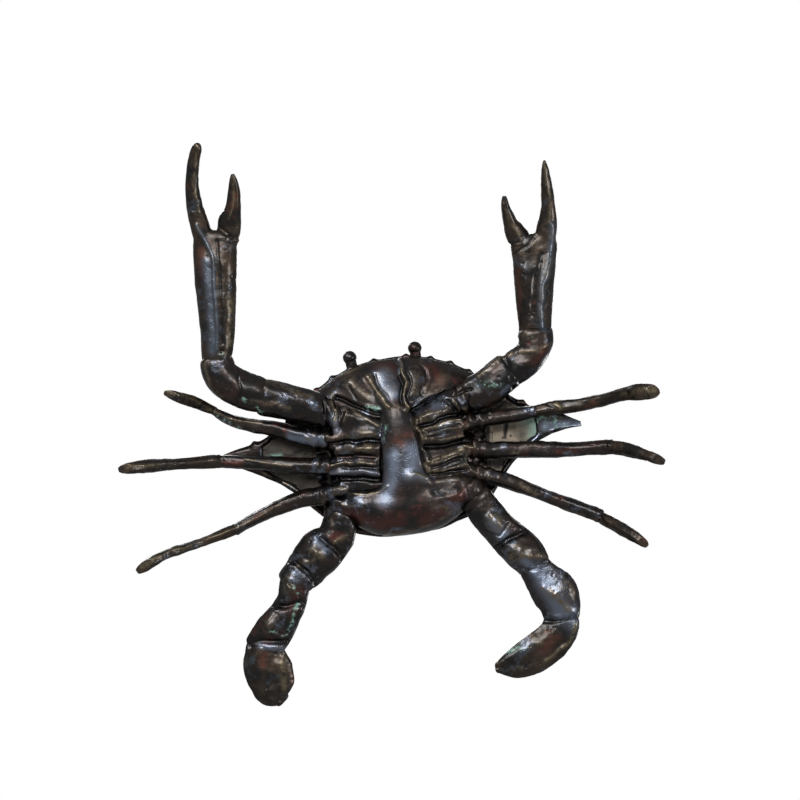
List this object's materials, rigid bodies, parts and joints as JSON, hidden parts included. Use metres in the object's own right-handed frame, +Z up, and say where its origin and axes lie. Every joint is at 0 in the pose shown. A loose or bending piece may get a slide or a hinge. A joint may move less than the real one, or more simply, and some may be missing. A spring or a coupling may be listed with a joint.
{
  "type": "crab figurine",
  "caption": "Life-size cast bronze swimming crab ornament with spread claws, walking legs and paddle legs, standing on its walking legs.",
  "frame": {"origin": "centre of the footprint at table level", "axes": "+Z up through the back of the shell, -Y the way the crab looks, +X to the crab's own left"},
  "size_m": [0.2218, 0.2384, 0.048],
  "materials": {
    "dark_bronze": "dark brown patina over cast bronze, semi-gloss",
    "rubbed_bronze": "brown patina rubbed lighter on the edges",
    "casting_clay": "dry matt clay left from the casting core"
  },
  "bodies": {
    "root": {"shell": "dark_bronze", "belly_plate": "dark_bronze", "mouth_fan": "dark_bronze", "tail_flap": "dark_bronze", "eye_left": "dark_bronze", "eye_right": "dark_bronze", "claw_arm_left": "dark_bronze", "claw_wrist_left": "dark_bronze", "swim_leg_left_thigh": "dark_bronze", "swim_leg_left_shank": "dark_bronze", "front_leg_left_thigh": "dark_bronze", "middle_leg_left_thigh": "dark_bronze", "rear_leg_left_thigh": "dark_bronze", "claw_arm_right": "dark_bronze", "claw_wrist_right": "dark_bronze", "swim_leg_right_thigh": "dark_bronze", "swim_leg_right_shank": "dark_bronze", "front_leg_right_thigh": "dark_bronze", "middle_leg_right_thigh": "dark_bronze", "rear_leg_right_thigh": "dark_bronze", "claw_palm_left": "rubbed_bronze", "claw_finger_left": "rubbed_bronze", "swim_leg_left_paddle": "rubbed_bronze", "front_leg_left_shin": "rubbed_bronze", "middle_leg_left_shin": "rubbed_bronze", "rear_leg_left_shin": "rubbed_bronze", "claw_palm_right": "rubbed_bronze", "claw_finger_right": "rubbed_bronze", "swim_leg_right_paddle": "rubbed_bronze", "front_leg_right_shin": "rubbed_bronze", "middle_leg_right_shin": "rubbed_bronze", "rear_leg_right_shin": "rubbed_bronze", "clay_core_left": "casting_clay", "clay_core_right": "casting_clay"}
  },
  "joints": []
}
